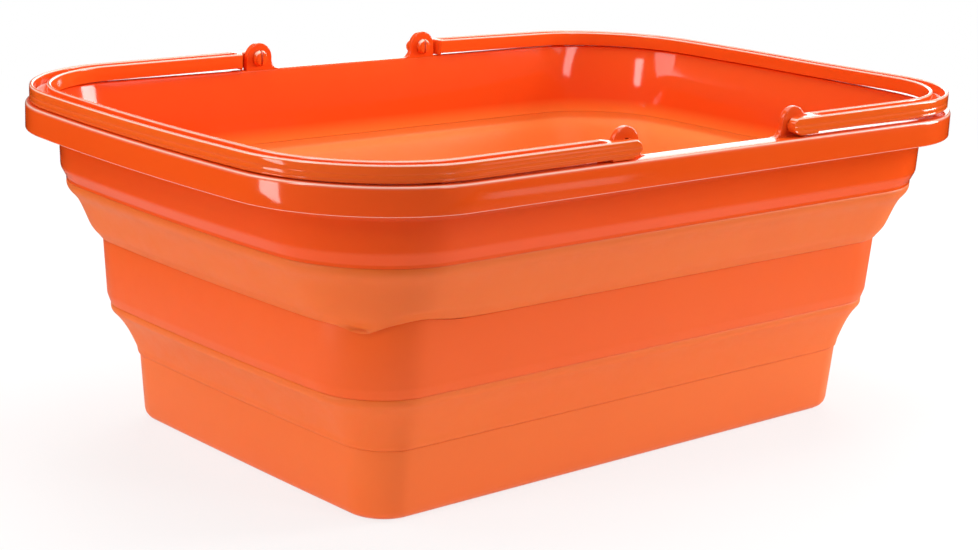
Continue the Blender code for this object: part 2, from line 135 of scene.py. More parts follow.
# Rounding of edges, in metres, and of the floor's corner as a share of the foot's
TONGUE_OUTER_EASE = 0.00015
TONGUE_INNER_EASE = 0.0003
SKIRT_EASE = 0.0005
FLANGE_EASE = 0.0007
THROAT_INNER_EASE = 0.0060
THROAT_OUTER_EASE = 0.0016
LANDING_EASE = 0.0003
UPPER_LIP_EASE = 0.0010
CEILING_INNER_EASE = 0.0006
CEILING_OUTER_EASE = 0.0008
RING_LIP_EASE = 0.0008
FOOT_EASE = 0.0003
FLOOR_EASE_SHARE = 0.75
EAR_EASE = 0.0006
STUD_HEAD_EASE = 0.00015
STUD_TIP_EASE = 0.0004
NUB_EASE = 0.0005

# The pucker in the upper fold's lip, in metres: how far it moves, and the middle and spread of each hill
PUCKER_SAG = 0.0036
PUCKER_POUT = 0.0011
SAG_HILL = (-0.0030, 0.0048)
POUT_HILL = (-0.0030, 0.0060)
PINCH_HILL = (-0.0040, 0.0036)
SEAM_LIFT = 0.0024
SEAM_LIFT_HILL = (0.0200, 0.0085)

# Which of the fold's stations take part in the pucker: shares, depths in metres and the whole seam
PUCKER_HOLD = {4: 0.12, 5: 0.40, 6: 0.70, 7: 0.88, 8: 1.0, 15: 0.88, 16: 0.70, 17: 0.40, 18: 0.12}
PUCKER_PINCH = {5: 0.0008, 6: 0.0022, 7: 0.0046, 15: 0.0046, 16: 0.0022, 17: 0.0008}
PUCKER_SEAM = range(9, 15)

# Small sizes of the ears, bails, studs and nubs, in metres
EAR_SIDE_CLEARANCE = 0.0003
EAR_END_CLEARANCE = 0.0005
EAR_FLARE = 0.0046
LUG_REACH = 0.0048
MERGE_LENGTH = 0.0034
CHANNEL_SETBACK = 0.0040
CHANNEL_FILLET = 0.0005
CHANNEL_LEAST_WIDTH = 0.0002
PAD_REACH = 0.0034
PAD_SETBACK = 0.001
PAD_DROP = 0.00075
PAD_START_STEPS = (0.0004, 0.0012)
PAD_END_STEPS = (-0.0001, 0.0002)
GROOVE_DEPTH = 0.00014
GROOVE_HALF_WIDTH = 0.0004
BAIL_FOOT_EDGE = 0.0004
STUD_CLEARANCE = 0.0003
STUD_HEAD_OVERLAP = 0.0011
STUD_HEAD_LAND = 0.0006
STUD_HEAD_LENGTH = 0.0020
STUD_TIP_INSET = 0.0007
STUD_SLOT = 0.0012
STUD_SLOT_RUN = 0.0012
NUB_PLAN = (0.0056, 0.0034)
NUB_GAP = 0.0007

# Grooves as shares of the bar's height, how its channel and pads end, and the nubs' angle in degrees
GROOVE_SHARES = (0.14, 0.46)
CHANNEL_RAMP = 0.25
CHANNEL_LEAST_SHARE = 0.06
PAD_EDGE_SHARE = 1.1
NUB_ANGLE = 16

# How the play in its holes lets each bail's front and back arms lie: lift in metres and turn in degrees
LEFT_ARMS = ((-0.0003, -0.22), (0.0002, -0.50))
RIGHT_ARMS = ((0.00015, 0.22), (-0.0001, -0.38))

# Painted glow of light through thin plastic: how far up it fades in metres, and which faces count as looking
# inwards
PAINTED_GLOW_REACH = 0.0075
INWARD_STRETCH = 2.4
INWARD_LEAST = 0.02

# Painted highlights on rounded edges: the least slant that gets any, and how far below an edge still counts
EDGE_SLANT = 0.65
EDGE_REACH = 0.001

# Clouds in the plastics: the deepest and palest colour as shares, and the sizes of scuffs and waves
CLOUD_DEEP = (0.985, 0.93, 0.92)
CLOUD_PALE = (1.01, 1.06, 1.08)
SCUFF_MM = 9
WAVE_MM = 38

# The camera that took the photograph
CAMERA_PLACE = (-0.6265, -0.6802, 0.2980)
CAMERA_RIGHT = (0.74614, -0.66425, 0.04515)
CAMERA_UP = (0.13058, 0.21251, 0.96840)
CAMERA_BACK = (-0.6528, -0.7167, 0.2453)
CAMERA_LENS = 76.41

# Name, place, width, height and power of each soft lamp
LAMPS = (
    ("top_softbox", (0.20, 0.20, 1.50), 1.20, 1.20, 15.2),
    ("back_panel", (1.29, 1.24, 0.85), 1.40, 1.50, 19.6),
    ("left_strip", (-1.45, 0.24, -0.07), 0.38, 0.75, 8.6),
    ("left_softbox", (-0.913, 0.639, 1.12), 0.60, 0.60, 4.6),
    ("right_softbox", (1.37, -0.61, 0.50), 0.47, 0.80, 17.5),
    ("front_left_strip", (-1.30, -0.17, 0.98), 0.24, 0.84, 6.6),
    ("front_right_strip", (0.33, -1.37, 0.98), 0.26, 0.84, 4.8),
    ("side_softbox", (0.716, -0.854, 1.12), 0.60, 0.60, 1.8),
    ("low_card", (0.213, -0.453, 0.048), 0.102, 0.038, 0.015),
)

# Where the lamps point, and the strength of the grey light all round
LAMP_AIM = (0, 0, 0.12)
WORLD_FILL = 0.13

# The lit table ends just in front of the basin, and is brightest round it
SWEEP_SIZE = 4.0
SWEEP_FRONT = 0.44
SWEEP_TURN = -42.3
SWEEP_BRIGHT = 0.20
SWEEP_DIM = 0.72
SWEEP_FAR_GREY = 0.06
TABLE_GLOW = 0.3

# How the camera and the gloss see the table: lit and shadowed near the basin, and white far off
NEAR_GLOW = 0.76
NEAR_GREY = 0.22
SHADOW_REACH = 0.35
WHITE_REACH = 1.0
MIRROR_GREY = 0.6


def linear(code):
    """A colour written as six hex digits of sRGB, as the linear values that a shader takes."""
    values = []
    for place in (0, 2, 4):
        value = int(code[place:place + 2], 16) / 255
        values.append(value / 12.92 if value <= 0.04045 else ((value + 0.055) / 1.055) ** 2.4)
    return tuple(values)


def length(name, description, default):
    """A length that the sidebar shows in the scene's units."""
    return FloatProperty(name=name, description=description, default=default, unit="LENGTH", precision=5)


def colour(name, description, code):
    """A colour that the sidebar shows, from its sRGB hex code."""
    return FloatVectorProperty(
        name=name, description=description, default=linear(code), subtype="COLOR", size=3, min=0, max=1
    )


class BasinSizes(bpy.types.PropertyGroup):
    """Sizes of the basin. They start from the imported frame's own."""

    rim_length: length("Rim length", "Length of the rim over its bowed ends", round(CAD_SIZE.x, 4))
    rim_width: length("Rim width", "Width of the rim over its long sides", round(CAD_SIZE.y, 4))
    end_bow: length("End bow", "How far each short end bows out", 0.0085)
    corner_radius: length("Corner radius", "Radius of the rim's corners in plan", 0.059)
    base_height: length("Base height", "Height of the base pan", 0.0303)
    lower_fold_height: length("Lower fold height", "Height of the open lower fold", 0.0240)
    ring_height: length("Ring height", "Height of the rigid middle ring", 0.0298)
    upper_fold_height: length("Upper fold height", "Height of the open upper fold", 0.0259)
    wall_height: length("Wall height", "Height of the rim frame above the upper fold", 0.0342)
    overhang: length("Rim overhang", "How far the rim stands out over the upper wall", 0.0116)
    upper_fold_draw: length("Upper fold draw", "How far the upper fold steps in", 0.0131)
    lower_fold_draw: length("Lower fold draw", "How far the lower fold steps in", 0.0094)
    wall: length("Wall", "Thickness of the rigid walls", 0.0024)
    fold_wall: length("Fold wall", "Thickness of the soft folds", 0.0018)
    flange_width: length("Flange width", "Width of the rim's flat top", 0.0090)
    flange_thickness: length("Flange thickness", "Thickness of the rim's flat top", 0.0024)
    skirt_depth: length("Skirt depth", "How far the rim's skirt hangs down", 0.0114)
    skirt_thickness: length("Skirt thickness", "Thickness of the hanging skirt", 0.0022)
    rim_edge: length("Rim edge", "Rounding of the rim's outer top edge", 0.0014)
    throat_depth: length("Throat depth", "How far the sloping throat goes down inside the rim", 0.0145)
    floor: length("Floor", "Thickness of the basin's floor", 0.0024)
    pivot_spacing: length("Pivot spacing", "Distance between the two bails' pivots", 0.101)
    pivot_height: length("Pivot height", "Height of the pivots above the rim", 0.0054)
    ear_radius: length("Ear radius", "Radius of the ears that the bails hang in", 0.0073)
    ear_thickness: length("Ear thickness", "Thickness of the ears", 0.0028)
    bail_set_in: length("Bail set-in", "How far the bails stand in from the rim's outer face", 0.0017)
    bail_width: length("Bail width", "Width of the bail's bar", 0.0090)
    bail_height: length("Bail height", "Height of the bail's bar", 0.0068)
    bail_wall: length("Bail wall", "Thickness of the channel's two walls", 0.0018)
    bail_floor: length("Bail floor", "Thickness of the channel's floor", 0.0022)
    bail_lift: length("Bail lift", "Gap between the rim and a bail that lies down", 0.0014)
    hole_radius: length("Hole radius", "Radius of the holes in the ears", 0.0027)


class BasinColours(bpy.types.PropertyGroup):
    """Colours of the basin's plastics and of the stage."""

    rim: colour("Rim", "Glossy plastic of the rim frame", "F3571A")
    bail: colour("Bails", "Glossy plastic of the bail handles", "F3621F")
    ring: colour("Ring", "Satin plastic of the middle ring", "EF5F19")
    base: colour("Base", "Satin plastic of the base pan", "EC6E29")
    fold: colour("Folds", "Soft rubber of the folds", "EC6E27")
    # Painted light: a paler colour on the inner faces, standing in for daylight that comes through the thin
    # plastic
    through: colour("Lit through", "Soft or thin plastic that daylight comes through", "FC8C3C")
    # Painted highlight: a pale colour on the rounded upper edges, standing in for the light that gathers there
    edge: colour("Edge light", "Rounded upper edges of the rim and bails, where light gathers", "FFD2BE")
    stage: colour("Stage", "Paper sweep under the basin", "F4F4F4")


def sizes():
    """The scene's sizes of the basin."""
    return bpy.context.scene.basin_sizes


def colours():
    """The scene's colours of the basin."""
    return bpy.context.scene.basin_colours


def levels():
    """Heights of the seams, and how far the outer face has drawn in at each."""
    s = sizes()
    at = SimpleNamespace()
    gap = SEAM_GAP
    at.base_top = s.base_height
    at.lower_low = at.base_top + gap
    at.lower_high = at.lower_low + s.lower_fold_height
    at.ring_low = at.lower_high + gap
    at.ring_high = at.ring_low + s.ring_height
    at.upper_low = at.ring_high + gap
    at.upper_high = at.upper_low + s.upper_fold_height
    at.wall_low = at.upper_high + gap
    at.rim_top = at.wall_low + s.wall_height
    at.wall_draw = s.overhang + WALL_DRAFT
    at.upper_seam_draw = at.wall_draw + UPPER_LIP_DRAW
    at.ring_top_draw = at.upper_seam_draw + s.upper_fold_draw
    at.ring_low_draw = at.ring_top_draw + RING_DRAFT
    at.lower_seam_draw = at.ring_low_draw + RING_LIP_DRAW
    at.base_top_draw = at.lower_seam_draw + s.lower_fold_draw
    at.base_low_draw = at.base_top_draw + BASE_DRAFT
    at.full_draw = at.base_low_draw + BASE_EDGE_RADIUS
    at.pivot_x = s.pivot_spacing / 2
    at.pivot_z = at.rim_top + s.pivot_height
    at.bail_low = at.rim_top + s.bail_lift
    at.bail_high = at.bail_low + s.bail_height
    at.ear_outer = s.flange_width - s.ear_thickness
    at.lug_inner = at.ear_outer - EAR_SIDE_CLEARANCE
    return at


# Plan and loft


def plan(draw, inset=0.0):
    """The basin's outline at a draw and an inset, anticlockwise from the middle of the front side."""
    s, at = sizes(), levels()
    bow = s.end_bow * (1 - draw / at.full_draw)
    half_length = s.rim_length / 2 - s.end_bow - END_DRAW_SHARE * draw - inset
    half_width = s.rim_width / 2 - draw - inset
    radius = max(s.corner_radius - draw - inset, s.wall)
    corner_x, corner_y = half_length - radius, half_width - radius
    quarter = [(corner_x * step / SIDE_STEPS, -half_width) for step in range(SIDE_STEPS)]
    for step in range(CORNER_STEPS):
        angle = math.radians(90) * step / CORNER_STEPS
        quarter.append((corner_x + radius * math.sin(angle), -corner_y - radius * math.cos(angle)))
    quarter += [(half_length, -corner_y * (1 - step / END_STEPS)) for step in range(END_STEPS + 1)]
    right = quarter + [(x, -y) for x, y in quarter[-2::-1]]
    points = right + [(-x, -y) for x, y in right[1:-1]]
    pull = NEAR_END_PULL * eased((draw - at.lower_seam_draw) / (at.base_low_draw - at.lower_seam_draw))
    bent = []
    for x, y in points:
        x += bow * (1 - (y / half_width) ** 2) * x / half_length
        if x < 0:
            x *= 1 - pull / half_length
        bent.append((x, y))
    return bent


def eased(share):
    """A share held between 0 and 1 and eased in and out."""
    share = min(max(share, 0), 1)
    return share * share * (3 - 2 * share)


def arc(centre, radius, start, end, steps):
    """Points of an arc, with its angles in degrees."""
    points = []
    for step in range(steps + 1):
        angle = math.radians(start + (end - start) * step / steps)
        points.append((centre[0] + radius * math.cos(angle), centre[1] + radius * math.sin(angle)))
    return points


def settle(thing, loop, number):
    """Moves the selected vertices to a loop's points, by the number of each one's spot."""
    mesh = bmesh.from_edit_mesh(thing.data)
    spot = mesh.verts.layers.int["spot"]
    station = mesh.verts.layers.int["station"]
    for vertex in mesh.verts:
        if vertex.select:
            vertex.co = loop[vertex[spot]]
            vertex[station] = number
    bmesh.update_edit_mesh(thing.data)


def select_stations(thing, wanted):
    """Selects the edge loops of the wanted stations."""
    bpy.ops.mesh.select_all(action="DESELECT")
    bpy.ops.mesh.select_mode(type="EDGE")
    mesh = bmesh.from_edit_mesh(thing.data)
    spot = mesh.verts.layers.int["spot"]
    station = mesh.verts.layers.int["station"]
    for edge in mesh.edges:
        first, second = edge.verts
        if first[station] == second[station] and first[station] in wanted and first[spot] != second[spot]:
            edge.select_set(True)
    bmesh.update_edit_mesh(thing.data)


def loft(name, loops, closed, eases=None, creases=()):
    """Puts a circle on the first loop, extrudes it from loop to loop, then bridges or caps the ends.

    eases gives the bevel at each loop, and creases the loops that stay sharp when subdivided.
    """
    bpy.ops.object.select_all(action="DESELECT")
    bpy.ops.mesh.primitive_circle_add(vertices=len(loops[0]), location=(0, 0, 0))
    thing = bpy.context.object
    thing.name = thing.data.name = name
    bpy.ops.object.mode_set(mode="EDIT")
    mesh = bmesh.from_edit_mesh(thing.data)
    spot = mesh.verts.layers.int.new("spot")
    mesh.verts.layers.int.new("station")
    for index, vertex in enumerate(mesh.verts):
        vertex[spot] = index
    bmesh.update_edit_mesh(thing.data)
    bpy.ops.mesh.select_all(action="SELECT")
    settle(thing, loops[0], 0)
    for number, loop in enumerate(loops[1:], 1):
        bpy.ops.mesh.extrude_region_move()
        settle(thing, loop, number)
    last = len(loops) - 1
    if closed:
        select_stations(thing, (0, last))
        bpy.ops.mesh.bridge_edge_loops()
    else:
        for end in (0, last):
            select_stations(thing, (end,))
            bpy.ops.mesh.edge_face_add()
    widest = max(eases or (0,))
    for width in sorted(set(eases or ()) - {0}):
        select_stations(thing, [index for index, ease in enumerate(eases) if ease == width])
        bpy.ops.transform.edge_bevelweight(value=width / widest)
    if creases:
        select_stations(thing, creases)
        bpy.ops.transform.edge_crease(value=1)
    bpy.ops.mesh.select_all(action="SELECT")
    bpy.ops.mesh.normals_make_consistent(inside=False)
    bpy.ops.object.mode_set(mode="OBJECT")
    if widest:
        limits = {"limit_method": "WEIGHT", "use_clamp_overlap": False}
        apply_modifier(thing, "BEVEL", width=widest, segments=BEVEL_STEPS, **limits)
    return thing


def band(name, stations, closed=True, creases=()):
    """A band lofted through stations of draw, inset, height and the ease of that edge."""
    loops = []
    for draw, inset, height, _ in stations:
        loops.append([(x, y, height) for x, y in plan(draw, inset)])
    return loft(name, loops, closed, [ease for _, _, _, ease in stations], creases)


def only(thing):
    """Selects one object and makes it active."""
    bpy.ops.object.select_all(action="DESELECT")
    thing.select_set(True)
    bpy.context.view_layer.objects.active = thing


def apply_modifier(thing, kind, **settings):
    """Adds a modifier with its settings and applies it."""
    only(thing)
    bpy.ops.object.modifier_add(type=kind)
    modifier = thing.modifiers[-1]
    for key, value in settings.items():
        setattr(modifier, key, value)
    bpy.ops.object.modifier_apply(modifier=modifier.name)


def cut(thing, cutter):
    """Cuts one object out of another and removes the cutter."""
    apply_modifier(thing, "BOOLEAN", operation="DIFFERENCE", object=cutter, solver="EXACT")
    bpy.data.objects.remove(cutter, do_unlink=True)


def joined(things):
    """Joins objects into the first of them."""
    bpy.ops.object.select_all(action="DESELECT")
    for thing in things:
        thing.select_set(True)
    bpy.context.view_layer.objects.active = things[0]
    bpy.ops.object.join()
    return things[0]


def marks(thing, name):
    """The named layer of shares, one for each vertex."""
    layers = thing.data.attributes
    return (layers.get(name) or layers.new(name, "FLOAT", "POINT")).data


def paint_edge_highlights(thing, low, both_ways):
    """Paints highlights into the colour of rounded edges above a height: those that face outwards, or both ways.
    """
    layer = marks(thing, "painted_edge_highlight")
    for vertex in thing.data.vertices:
        slant = 2 * abs(vertex.normal.z) * vertex.normal.xy.length
        outward = vertex.normal.xy.dot(vertex.co.xy) > 0
        if vertex.co.z > low and (outward or both_ways):
            layer[vertex.index].value = max(slant - EDGE_SLANT, 0) / (1 - EDGE_SLANT)


def paint_glow_stations(thing, first, last):
    """Marks the vertices of the first to the last of some stations for the painted glow of light through the
    plastic.
    """
    layer = marks(thing, "painted_through_glow")
    station = thing.data.attributes["station"].data
    for vertex in thing.data.vertices:
        if first <= station[vertex.index].value <= last:
            layer[vertex.index].value = 1


def paint_through_glow(thing, full, none):
    """Marks faces that look inwards for the painted glow of light through the plastic, fully up to one height and
    fading to another.
    """
    layer = marks(thing, "painted_through_glow")
    for vertex in thing.data.vertices:
        inward = -(vertex.normal.x * vertex.co.x / INWARD_STRETCH + vertex.normal.y * vertex.co.y)
        if inward > INWARD_LEAST * vertex.co.xy.length:
            layer[vertex.index].value = 1 - eased((vertex.co.z - full) / (none - full))


def smooth(thing, degrees=SMOOTH_ANGLE):
    """Shades an object smooth except over its sharp edges, and returns it."""
    only(thing)
    bpy.ops.object.shade_smooth_by_angle(angle=math.radians(degrees))
    return thing


def dress(thing, material, body, slot, *nodes):
    """Gives a finished piece its material and body, and hides the CAD nodes that it stands for. The slot is not
    used.
    """
    thing.data.materials.clear()
    thing.data.materials.append(material)
    if body:
        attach(thing, body)
    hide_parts(*nodes)


# Bands of the tub


def seam_edge(outer, draw, edge, tip, first, last, eases):
    """Stations over an edge from the outer to the inner face, with a tongue or a groove in its middle."""
    middle = [(draw, first, edge, 0), (draw, first, tip, 0), (draw, last, tip, 0), (draw, last, edge, 0)]
    return [(outer, 0, edge, eases[0]), *middle, (draw, sizes().wall, edge, eases[1])]


def tongue(draw, edge, rise):
    """Stations over a rigid edge with its central tongue."""
    first = (sizes().wall - TONGUE_THICKNESS) / 2
    last = first + TONGUE_THICKNESS
    tip = edge + rise * TONGUE_HEIGHT
    return seam_edge(draw, draw, edge, tip, first, last, (TONGUE_OUTER_EASE, TONGUE_INNER_EASE))


def cuff(draw, edge, rise, proud):
    """Stations over a soft edge with the groove that grips a tongue."""
    first = (sizes().wall - TONGUE_THICKNESS) / 2 - SEAM_GAP
    last = first + TONGUE_THICKNESS + 2 * SEAM_GAP
    foot = edge - rise * (TONGUE_HEIGHT + SEAM_GAP)
    return seam_edge(draw - proud, draw, edge + rise * SEAM_CLOSE, foot, first, last, (0, 0))


def rim_stations():
    """The rim frame's section: skirt, flat flange, throat, upper wall and its tongue."""
    s, at = sizes(), levels()
    ceiling = at.rim_top - s.flange_thickness
    throat = at.rim_top - s.throat_depth
    skirt = at.rim_top - s.skirt_depth
    lip = at.wall_low + UPPER_LIP_HEIGHT
    landing = at.wall_low + LIP_LANDING
    stations = [
        (0, 0, skirt, SKIRT_EASE),
        (0, 0, at.rim_top, s.rim_edge),
        (0, s.flange_width, at.rim_top, FLANGE_EASE),
        (s.overhang, s.wall - THROAT_THINNING, throat, THROAT_INNER_EASE),
    ]
    # A station where the painted glow of light through the plastic ends
    glow = at.wall_low + PAINTED_GLOW_REACH
    share = (glow - throat) / (at.wall_low - throat)
    draw = s.overhang + (at.upper_seam_draw - s.overhang) * share
    stations.append((draw, s.wall - THROAT_THINNING * (1 - share), glow, 0))
    stations += tongue(at.upper_seam_draw, at.wall_low, -1)[::-1]
    stations += [
        (at.upper_seam_draw, 0, landing, LANDING_EASE),
        (at.wall_draw, 0, lip, UPPER_LIP_EASE),
        (s.overhang, 0, throat, THROAT_OUTER_EASE),
        (0, s.flange_width - s.wall, ceiling, CEILING_INNER_EASE),
        (0, s.skirt_thickness, ceiling, CEILING_OUTER_EASE),
        (0, s.skirt_thickness, skirt, SKIRT_EASE),
    ]
    return stations


def ear_outline():
    """The ear seen from the side, about its hole, with the bail on its +X side."""
    s = sizes()
    root = -s.pivot_height - s.flange_thickness / 2
    points = [(s.ear_radius, root)]
    points += arc((0, 0), s.ear_radius, 0, 180, EAR_STEPS)
    centre = (-s.ear_radius - EAR_FLARE, EAR_FLARE - s.pivot_height)
    points += arc(centre, EAR_FLARE, 0, -90, FLARE_STEPS)
    points.append((centre[0], root))
    return points


def make_ear():
    """One ear at the right bail's front: outline, thickness, hole and softened edges."""
    s, at = sizes(), levels()
    near = -(s.rim_width / 2 - at.ear_outer)
    outline = ear_outline()
    loops = []
    for y in (near, near + s.ear_thickness):
        loops.append([(at.pivot_x + x, y, at.pivot_z + z) for x, z in outline])
    ear = loft("ear", loops, False)
    bpy.ops.object.mode_set(mode="EDIT")
    bpy.ops.mesh.select_all(action="DESELECT")
    mesh = bmesh.from_edit_mesh(ear.data)
    for edge in mesh.edges:
        first, second = edge.verts
        flat = abs(first.co.y - second.co.y) < s.ear_thickness / 2
        edge.select_set(flat and min(first.co.z, second.co.z) > at.rim_top + EAR_EASE / 2)
    bmesh.update_edit_mesh(ear.data)
    bpy.ops.mesh.bevel(offset=EAR_EASE, segments=BEVEL_STEPS, affect="EDGES")
    bpy.ops.object.mode_set(mode="OBJECT")
    bpy.ops.object.select_all(action="DESELECT")
    bpy.ops.mesh.primitive_cylinder_add(
        vertices=STUD_SIDES, radius=s.hole_radius, depth=4 * s.ear_thickness,
        location=(at.pivot_x, near, at.pivot_z), rotation=(math.radians(90), 0, 0),
    )
    cut(ear, bpy.context.object)
    return ear


def mirrored(thing, across_x, across_y):
    """A copy of an object with its own mesh, mirrored across the basin's middle planes."""
    only(thing)
    bpy.ops.object.duplicate()
    copy = bpy.context.object
    sign_x = -1 if across_x else 1
    sign_y = -1 if across_y else 1
    copy.data.transform(Matrix.Diagonal((sign_x, sign_y, 1, 1)))
    if sign_x * sign_y < 0:
        bpy.ops.object.mode_set(mode="EDIT")
        bpy.ops.mesh.select_all(action="SELECT")
        bpy.ops.mesh.flip_normals()
        bpy.ops.object.mode_set(mode="OBJECT")
    return copy


def make_rim():
    """The rim frame with its four ears."""
    at = levels()
    rim = band("rim_moulding", rim_stations())
    ear = make_ear()
    ears = [ear, mirrored(ear, True, False), mirrored(ear, False, True), mirrored(ear, True, True)]
    # Painted glow of light through the plastic on the inner face just above the rim's lower seam
    paint_through_glow(rim, at.wall_low, at.wall_low + PAINTED_GLOW_REACH)
    # Painted highlights on the rim's outer top fillet and the skirt's lower edge
    paint_edge_highlights(rim, at.rim_top - sizes().skirt_depth - EDGE_REACH, False)
    return smooth(joined([rim] + ears))


def fold_stations(top, bottom, shares):
    """Stations round a soft fold between two seams, each given as its draw and height."""
    s = sizes()
    fall, draw_in = top[1] - bottom[1], bottom[0] - top[0]
    outer = [(top[0] + across * draw_in, top[1] - down * fall) for down, across in shares]
    inner = []
    for index, (draw, height) in enumerate(outer):
        before, after = outer[max(index - 1, 0)], outer[min(index + 1, len(outer) - 1)]
        run, drop = after[0] - before[0], before[1] - after[1]
        reach = math.hypot(run, drop)
        inner.append((draw, s.fold_wall * drop / reach, height + s.fold_wall * run / reach, 0))
    outside = [(top[0], 0, top[1] - CUFF_HEIGHT, 0)] + [(draw, 0, height, 0) for draw, height in outer]
    low = cuff(*bottom, -1, LIP_PROUD)
    high = cuff(*top, 1, 0)
    stations = outside + low + [(bottom[0], s.wall, bottom[1] + CUFF_HEIGHT, 0)] + inner[::-1]
    stations += [(top[0], s.wall, top[1] - CUFF_HEIGHT, 0)] + high[::-1]
    first_low = len(outside)
    inner_low = first_low + len(low) - 1
    inner_high = len(stations) - len(high)
    creases = [*range(first_low + 1, inner_low + 1), *range(inner_high, len(stations) - 1)]
    return stations, creases, inner_low, inner_high


def make_fold(name, top, bottom, shares):
    """One soft fold, which is later subdivided so that its web rolls smoothly from seam to seam."""
    stations, creases, inner_low, inner_high = fold_stations(top, bottom, shares)
    web = band(name, stations, creases=creases)
    # Painted glow of light through the rubber on the fold's inner face
    paint_glow_stations(web, inner_low, inner_high)
    return web


def pucker(web):
    """Lets the upper fold's lip sag over the ring at the near corner, with a pinch over it."""
    station = web.data.attributes["station"].data
    for vertex in web.data.vertices:
        number = station[vertex.index].value
        hold = PUCKER_HOLD.get(number, 0)
        pinch = PUCKER_PINCH.get(number, 0)
        lift = max(hold, 1 if number in PUCKER_SEAM else 0)
        along, out = round_corner(vertex.co)
        vertex.co.z += lift * seam_lift(along) - hold * PUCKER_SAG * hill(along, *SAG_HILL)
        vertex.co += out * (hold * PUCKER_POUT * hill(along, *POUT_HILL))
        vertex.co -= out * (pinch * hill(along, *PINCH_HILL))


def round_corner(place):
    """How far past the near corner's middle a place is, along the ring's top edge, and its way out."""
    s, at = sizes(), levels()
    draw = at.ring_top_draw
    x = place.x - (s.corner_radius + END_DRAW_SHARE * draw + s.end_bow - draw - s.rim_length / 2)
    y = place.y - (s.corner_radius - s.rim_width / 2)
    tiny = 1e-6
    angle = math.atan2(-min(x, 0), -min(y, -tiny))
    along = (s.corner_radius - draw) * (math.radians(45) - angle) + max(x, 0) - max(y, 0)
    return along, Vector((-math.sin(angle), -math.cos(angle), 0))


def seam_lift(along):
    """How far the seam over the ring runs up beside the pucker."""
    return SEAM_LIFT * hill(along, *SEAM_LIFT_HILL)


def hill(place, middle, spread):
    """A smooth hill of height 1."""
    return math.exp(-((place - middle) / spread) ** 2 / 2)


def make_ring():
    """The rigid middle ring, drafted, with its lower edge turned in to the seam."""
    s, at = sizes(), levels()
    lip = at.ring_low + RING_LIP_HEIGHT
    stations = tongue(at.ring_top_draw, at.ring_high, 1)
    stations.append((at.ring_low_draw, s.wall, lip, RING_LIP_EASE))
    stations += tongue(at.lower_seam_draw, at.ring_low, -1)[::-1]
    stations.append((at.ring_low_draw, 0, lip, RING_LIP_EASE))
    ring = band("ring_moulding", stations)
    for vertex in ring.data.vertices:
        if vertex.co.z > at.ring_high - EDGE_REACH:
            vertex.co.z += seam_lift(round_corner(vertex.co)[0])
    return smooth(ring)


def make_base():
    """The base pan: foot recess, rounded lower edge, drafted wall, tongue, inner wall and floor."""
    s, at = sizes(), levels()
    low = at.base_low_draw
    foot = BASE_EDGE_RADIUS + FOOT_BORDER
    inner = s.wall + BASE_EDGE_RADIUS
    stations = [
        (low, foot + FLAT_INSET, FOOT_RECESS, 0),
        (low, foot + FOOT_RECESS, FOOT_RECESS, FOOT_EASE),
        (low, foot, 0, FOOT_EASE),
        (low, 0, 0, BASE_EDGE_RADIUS),
    ]
    stations += tongue(at.base_top_draw, at.base_top, 1)
    stations.append((low, s.wall, s.floor, BASE_EDGE_RADIUS * FLOOR_EASE_SHARE))
    stations.append((low, inner + FLAT_INSET, s.floor, 0))
    return smooth(band("base_moulding", stations, closed=False))


# Bails


def bail_section(inner, height_share, opening, pad=0.0):
    """The bar's section as insets and heights: grooved outer face, two beads and the channel between.

    opening is how far the channel has opened from its rounded end, and pad how far the end hangs down.
    """
    s, at = sizes(), levels()
    outer, low, high = s.bail_set_in, at.bail_low, at.bail_high
    bead, fillet, edge = s.bail_wall / 2, CHANNEL_FILLET, BAIL_FOOT_EDGE
    first = outer + s.bail_wall
    last = max(inner - s.bail_wall, first + CHANNEL_LEAST_WIDTH)
    pairs = arc((outer + edge, low + edge), edge, 270, 180, EDGE_STEPS)
    for share in GROOVE_SHARES:
        groove = low + share * s.bail_height
        pairs.append((outer, groove - GROOVE_HALF_WIDTH))
        pairs.append((outer + GROOVE_DEPTH, groove))
        pairs.append((outer, groove + GROOVE_HALF_WIDTH))
    crown = arc((outer + bead, high - bead), bead, 180, 0, 2 * BEAD_STEPS)
    pairs += crown[:BEAD_STEPS + 1]
    floor = low + s.bail_floor
    hollow = crown[BEAD_STEPS + 1:]
    hollow += arc((first + fillet, floor + fillet), fillet, 180, 270, EDGE_STEPS)
    hollow += arc((last - fillet, floor + fillet), fillet, 270, 360, EDGE_STEPS)
    far = arc((last + bead, high - bead), bead, 180, 0, 2 * BEAD_STEPS)
    far = [(min(inset, inner), height) for inset, height in far]
    hollow += far[:BEAD_STEPS]
    depth = eased(opening / CHANNEL_RAMP)
    width = max(math.sqrt(1 - (1 - opening) ** 2), CHANNEL_LEAST_SHARE)
    centre = (first + last) / 2
    for inset, height in hollow:
        pairs.append((centre + (inset - centre) * width, high + (height - high) * depth))
    pairs += far[BEAD_STEPS:]
    pairs += arc((inner - edge, low + edge), edge, 0, -90, EDGE_STEPS)
    middle = (low + high) / 2
    foot_high = low + PAD_EDGE_SHARE * edge
    pairs = [(inset, height - pad if height < foot_high else height) for inset, height in pairs]
    return [(inset, middle + (height - middle) * height_share) for inset, height in pairs]


